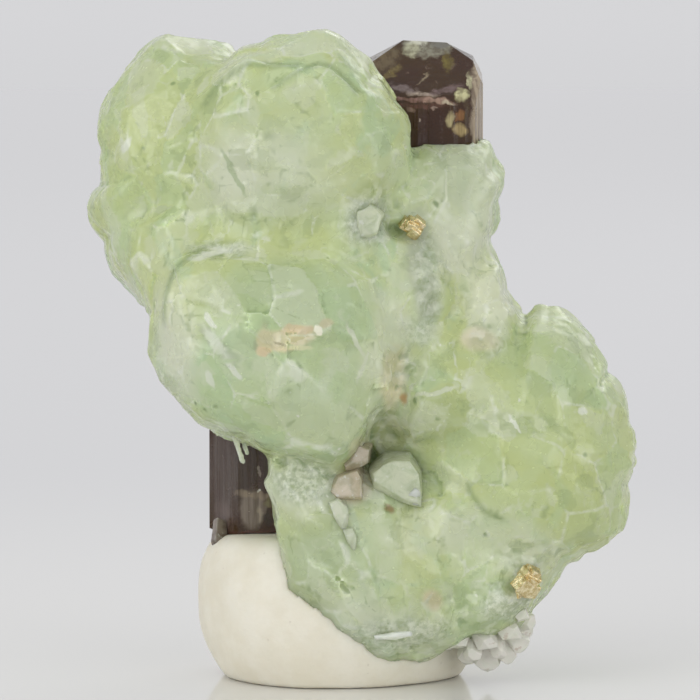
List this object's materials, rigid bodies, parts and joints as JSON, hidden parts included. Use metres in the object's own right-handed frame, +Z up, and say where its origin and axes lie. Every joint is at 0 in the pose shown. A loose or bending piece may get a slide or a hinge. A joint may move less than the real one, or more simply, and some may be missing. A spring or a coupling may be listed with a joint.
{
  "type": "tanzanite with prehnite",
  "caption": "Brown tabular tanzanite crystal with rounded see-through green prehnite balls grown round it, stood upright in a lump of cream display putty.",
  "frame": {"origin": "middle of the putty's flat foot, on the surface it stands on", "axes": "+Z up along the tanzanite prism, +X to the viewer's right, -Y towards the viewer of the pictured side"},
  "size_m": [0.03, 0.0206, 0.0357],
  "materials": {
    "tanzanite": "polished",
    "prehnite": "satin",
    "clear_crystal": "gloss",
    "pyrite": "satin",
    "putty": "matte"
  },
  "bodies": {
    "root": {"tanzanite_crystal": "tanzanite", "prehnite_cluster": "prehnite", "clear_crystal_druse": "clear_crystal", "pyrite_grain_upper": "pyrite", "pyrite_grain_lower": "pyrite", "display_putty": "putty"}
  },
  "joints": []
}
